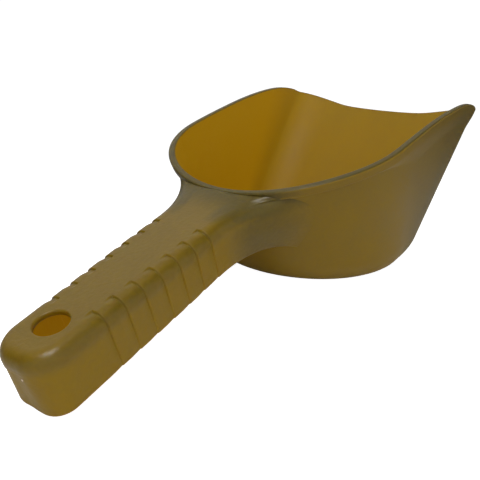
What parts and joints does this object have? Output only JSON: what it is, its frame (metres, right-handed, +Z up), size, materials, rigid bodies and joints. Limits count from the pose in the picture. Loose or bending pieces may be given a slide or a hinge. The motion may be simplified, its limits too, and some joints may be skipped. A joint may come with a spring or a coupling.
{
  "type": "grain scoop",
  "caption": "Moulded plastic grain scoop: flat-based cup with a raised back rim, sides that sweep down to a low front lip, and a hollow notched handle with a hang hole.",
  "frame": {"origin": "under the middle of the part's bounding box, on the plane the cup's base lies on", "axes": "+X from the handle's end to the cup's front lip, +Y to the left, +Z up, as the scoop lies on a table"},
  "size_m": [0.2878, 0.1268, 0.0786],
  "materials": {
    "bowl_wall": "satin moulded plastic",
    "bowl_base": "satin moulded plastic",
    "rim_band": "satin moulded plastic",
    "handle_top": "fine spark-eroded texture",
    "handle_skirt": "fine spark-eroded texture",
    "handle_neck": "fine spark-eroded texture"
  },
  "bodies": {
    "root": {"bowl_wall": "bowl_wall", "bowl_base": "bowl_base", "rim_band": "rim_band", "handle_top": "handle_top", "handle_skirt": "handle_skirt", "handle_neck": "handle_neck"}
  },
  "joints": []
}
